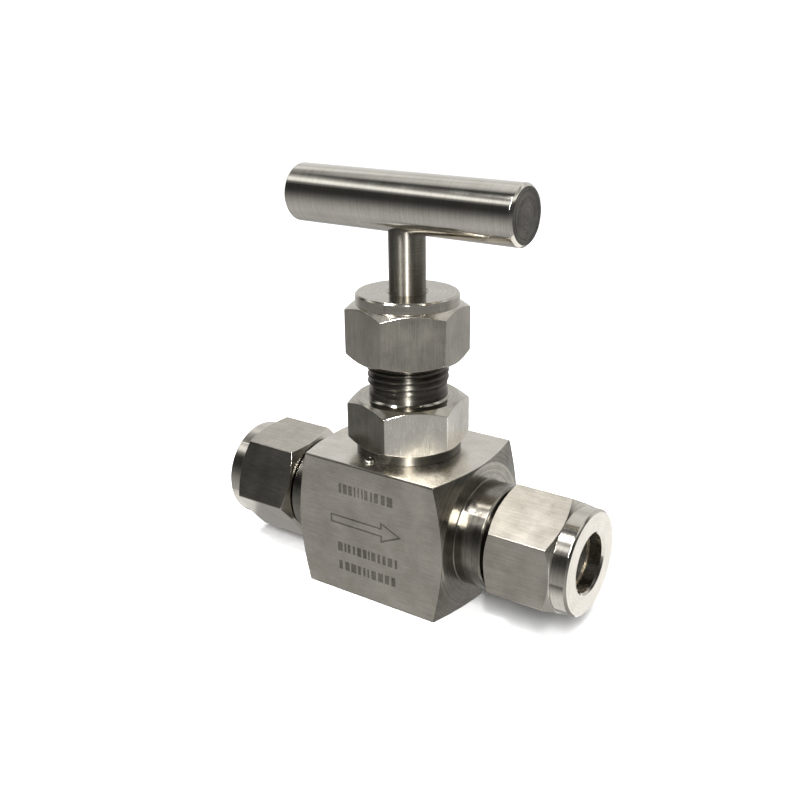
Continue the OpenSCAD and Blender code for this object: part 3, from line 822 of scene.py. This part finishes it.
FLOOR_RADIUS = 3
CARD_LIFT = 0.0002       # how far a card lies above the floor


def staged(name, points, faces, material, unseen):
    """Adds a piece of the studio, hidden from the kinds of ray in unseen."""
    mesh = bpy.data.meshes.new(name)
    mesh.from_pydata(points, [], faces)
    mesh.materials.append(material)
    piece = bpy.data.objects.new(name, mesh)
    bpy.context.scene.collection.objects.link(piece)
    for kind in unseen:
        setattr(piece, "visible_" + kind, False)


def circle(radius, columns, x=0.0, y=0.0):
    return [(x + radius * math.cos(a), y + radius * math.sin(a)) for a in round_angles(columns)]


def rectangle(low_x, low_y, high_x, high_y):
    return [(low_x, low_y), (high_x, low_y), (high_x, high_y), (low_x, high_y)]


def glow_card(name, ring, strength, dim_y, full_y):
    """A bright card lying on the floor that only reflections see; it brightens from dim_y to full_y."""
    n = Nodes(bpy.data.materials.new(name))
    depth = n.add("ShaderNodeSeparateXYZ", {0: n.place()}).outputs[1]
    tone = n.between(depth, 0.15, 1.0, dim_y, full_y, interpolation_type="SMOOTHSTEP")
    n.finish(n.add("ShaderNodeEmission", {"Color": n.grey(tone), "Strength": strength}))
    staged(name, [(x, y, CARD_LIFT) for x, y in ring], [list(range(len(ring)))], n.owner,
           ("camera", "diffuse", "shadow"))


def lathe(outline, turns):
    """Points and faces of an open outline (radius, height) turned around Z."""
    points = [
        (radius * math.cos(a), radius * math.sin(a), height)
        for radius, height in outline for a in round_angles(turns)]
    faces = [
        (k * turns + i, (k + 1) * turns + i, (k + 1) * turns + (i + 1) % turns, k * turns + (i + 1) % turns)
        for k in range(len(outline) - 1) for i in range(turns)]
    return points, faces


paper = Nodes(bpy.data.materials.new("pale_floor"))
paper_tone = paper.between(paper.noise(paper.place(), 300.0), 0.70, 0.73)
paper.finish(paper.add("ShaderNodeBsdfDiffuse", {"Color": paper.grey(paper_tone)}))
floor_ring = [(x, y, 0) for x, y in circle(FLOOR_RADIUS, 96)]
staged("floor", floor_ring, [list(range(len(floor_ring)))], paper.owner, ("glossy",))

glow_card("card_end", circle(0.066, 48, 0.087, 0.05), 1.3, -0.08, -0.02)
glow_card("card_collar", rectangle(0.031, -0.034, 0.042, -0.006), 0.9, -0.034, -0.014)
glow_card("card_inlet", rectangle(-0.060, -0.036, -0.0475, -0.004), 1.0, -0.036, -0.014)

# White backdrop that rises from the floor all round; the light passes through it
backdrop_outline = [
    (0.55, 0.0004), (1.0, 0.01), (1.6, 0.12), (2.2, 0.45), (2.4, 1.0), (2.3, 1.8), (1.8, 2.5),
    (1.0, 2.9), (0.01, 3.0)]
white = Nodes(bpy.data.materials.new("backdrop"))
white_tone = white.between(white.noise(white.place(), 2.0), 0.99, 1.0)
white.finish(white.add("ShaderNodeEmission", {"Color": white.grey(white_tone), "Strength": 1.1}))
white.owner.cycles.emission_sampling = "NONE"
staged("backdrop", *lathe(backdrop_outline, 48), white.owner, ("glossy", "diffuse", "transmission", "shadow"))


# ---- Light ------------------------------------------------------------------------------------

LIT_POINT = (0, 0, 0.05)                 # the lights face this place
camera_azimuth = 33.46                   # degrees from the front (-Y) towards +X
camera_elevation = 20.19


def direction(azimuth, elevation):
    """Unit vector towards an azimuth from the front and an elevation, both in degrees."""
    azimuth, elevation = math.radians(azimuth), math.radians(elevation)
    flat = math.cos(elevation)
    return Vector((math.sin(azimuth) * flat, -math.cos(azimuth) * flat, math.sin(elevation)))


def softbox(name, azimuth, elevation, distance, width, height, power):
    """An area light that faces the valve from a direction."""
    data = bpy.data.lights.new(name, "AREA")
    data.shape = "RECTANGLE"
    data.size, data.size_y = width, height
    data.energy = power
    light = bpy.data.objects.new(name, data)
    towards = direction(azimuth, elevation)
    light.location = Vector(LIT_POINT) + towards * distance
    light.rotation_euler = towards.to_track_quat("Z", "Y").to_euler()
    bpy.context.scene.collection.objects.link(light)
    return light


softbox("key", camera_azimuth, elevation=40, distance=0.9, width=0.06, height=0.5, power=14)
softbox("side", -30, elevation=62, distance=0.9, width=0.12, height=0.12, power=5)
fill = softbox("fill", 0, elevation=89, distance=1.2, width=1.2, height=1.2, power=20)
fill.visible_glossy = False

# Studio that the metal reflects: dark low in front with a bright strip at 40 degrees, bright behind
world = bpy.data.worlds.new("studio")
bpy.context.scene.world = world
studio = Nodes(world)


def ramp(value, stops):
    """Grey levels against a value from 0 to 1."""
    made = studio.add("ShaderNodeValToRGB", {0: value})
    elements = made.color_ramp.elements
    while len(elements) > 1:
        elements.remove(elements[-1])
    for k, (place, level) in enumerate(stops):
        stop = elements[0] if k == 0 else elements.new(place)
        stop.position = place
        stop.color = (level, level, level, 1)
    return made.outputs[0]


def at(degrees):
    """Place on a ramp of an elevation in degrees."""
    return (math.sin(math.radians(degrees)) + 1) / 2


view = studio.place("Generated")
sky = studio.add("ShaderNodeSeparateXYZ", {0: view})
rise = studio.between(sky.outputs[2], 0.0, 1.0, -1.0, 1.0)
front_level = ramp(rise, [
    (at(-90), 0.17), (at(-58), 0.21), (at(-45), 0.27), (at(-30), 0.24), (at(-16), 0.17), (at(-3), 0.08),
    (at(8), 0.03), (at(15), 0.018), (at(28), 0.018), (at(34), 0.14), (at(37.5), 0.62), (at(42), 0.7),
    (at(45.5), 0.28), (at(49), 0.06), (at(52), 0.03)])
back_level = ramp(rise, [
    (at(-90), 0.17), (at(-35), 0.20), (at(-18), 0.27), (at(0), 0.40), (at(22), 0.42), (at(34), 0.36),
    (at(48), 0.5)])
behind = (-0.3, 0.954, 0)                # the side that the bright part of the studio is on
toward_back = studio.add("ShaderNodeVectorMath", {0: view, 1: behind}, operation="DOT_PRODUCT")
turn_back = studio.between(toward_back.outputs["Value"], 0.0, 1.0, interpolation_type="SMOOTHSTEP")
around = studio.mix(turn_back, front_level, back_level)
# Overhead the studio is dark in front and brightens towards the back
front_to_back = studio.between(sky.outputs[1], 0.0, 1.0, -1.0, 1.0)
overhead_level = ramp(front_to_back, [
    (0.25, 0.30), (0.32, 0.04), (0.42, 0.02), (0.46, 0.05), (0.51, 0.24), (0.57, 0.36), (0.64, 0.42),
    (0.8, 0.5)])
overhead = studio.between(sky.outputs[2], 0.0, 1.0, 0.74, 0.80)
level = studio.mix(overhead, around, overhead_level)
studio.finish(studio.add("ShaderNodeBackground", {"Color": level, "Strength": 2.0}), "ShaderNodeOutputWorld")


# ---- Camera -----------------------------------------------------------------------------------

camera_data = bpy.data.cameras.new("camera")
camera_data.lens = 45.8
camera_data.sensor_width = 36
camera_data.shift_x = -0.047
camera_data.shift_y = 0.0016
camera_data.clip_start = 0.01
camera = bpy.data.objects.new("camera", camera_data)
camera.location = (0.1228, -0.1741, 0.1211)
camera.rotation_euler = direction(camera_azimuth, camera_elevation).to_track_quat("Z", "Y").to_euler()
bpy.context.scene.collection.objects.link(camera)
bpy.context.scene.camera = camera
bpy.context.scene.view_settings.view_transform = "Standard"
